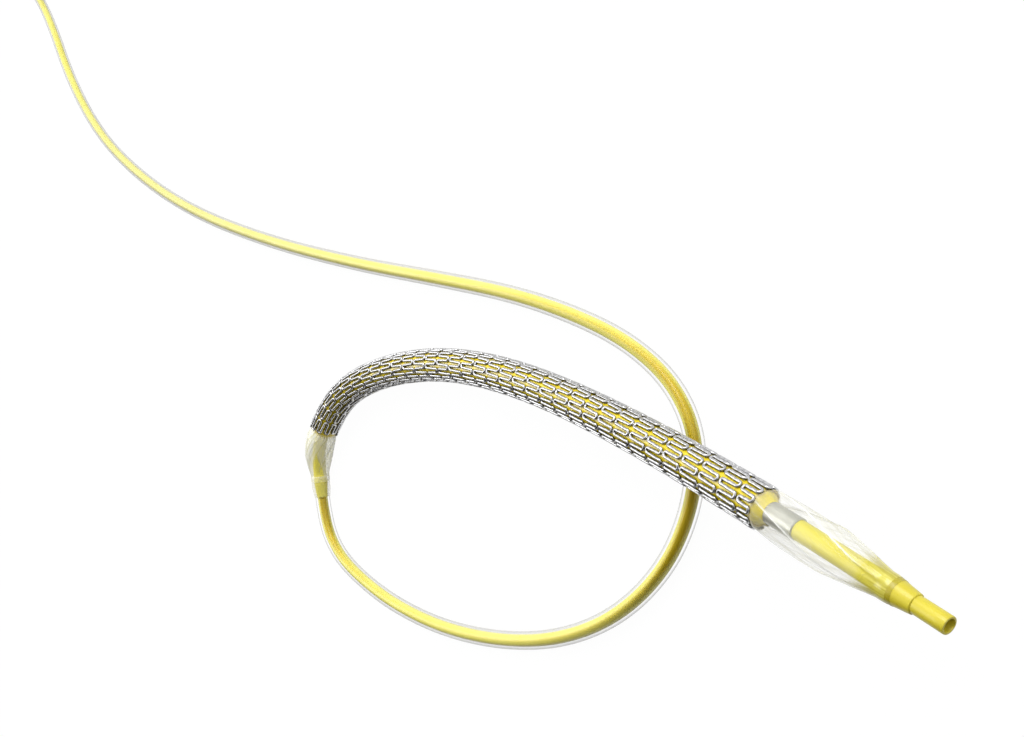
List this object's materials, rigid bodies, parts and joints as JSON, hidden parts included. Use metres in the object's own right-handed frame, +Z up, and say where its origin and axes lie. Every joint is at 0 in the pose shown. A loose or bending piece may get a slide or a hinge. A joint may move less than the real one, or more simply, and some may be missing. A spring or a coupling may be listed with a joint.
{
  "type": "vascular stent on balloon catheter",
  "caption": "Wire-lattice vascular stent crimped on a folded balloon, with marker bands, soft tip, coiled catheter shaft and two-armed luer hub.",
  "frame": {"origin": "bottom centre of the stent, balloon and tip, on the surface that they lie on", "axes": "+X along the stent from the shaft's end towards the tip, +Z up"},
  "size_m": [0.1018, 0.087, 0.0071],
  "materials": {
    "stent_alloy": "polished cobalt-chrome wire",
    "balloon_film": "clear folded film",
    "yellow_polymer": "smooth extruded polymer",
    "marker_metal": "satin platinum band",
    "bond_polymer": "translucent heat-bonded polymer",
    "shaft_polymer": "clear outer tube over yellow core",
    "tie_polymer": "matt white strip",
    "relief_polymer": "soft satin elastomer",
    "hub_polymer": "moulded polycarbonate"
  },
  "bodies": {
    "root": {"stent": "stent_alloy", "crown_welds": "stent_alloy", "balloon": "balloon_film", "inner_tube": "yellow_polymer", "proximal_marker": "marker_metal", "distal_marker": "marker_metal", "bond_sleeve": "bond_polymer", "bond_collar": "bond_polymer", "tip_sleeve": "yellow_polymer", "soft_tip": "yellow_polymer", "catheter_shaft": "shaft_polymer", "catheter_coil": "shaft_polymer", "hub_lead": "shaft_polymer", "coil_tie": "tie_polymer", "strain_relief": "relief_polymer", "hub_manifold": "hub_polymer"}
  },
  "joints": []
}
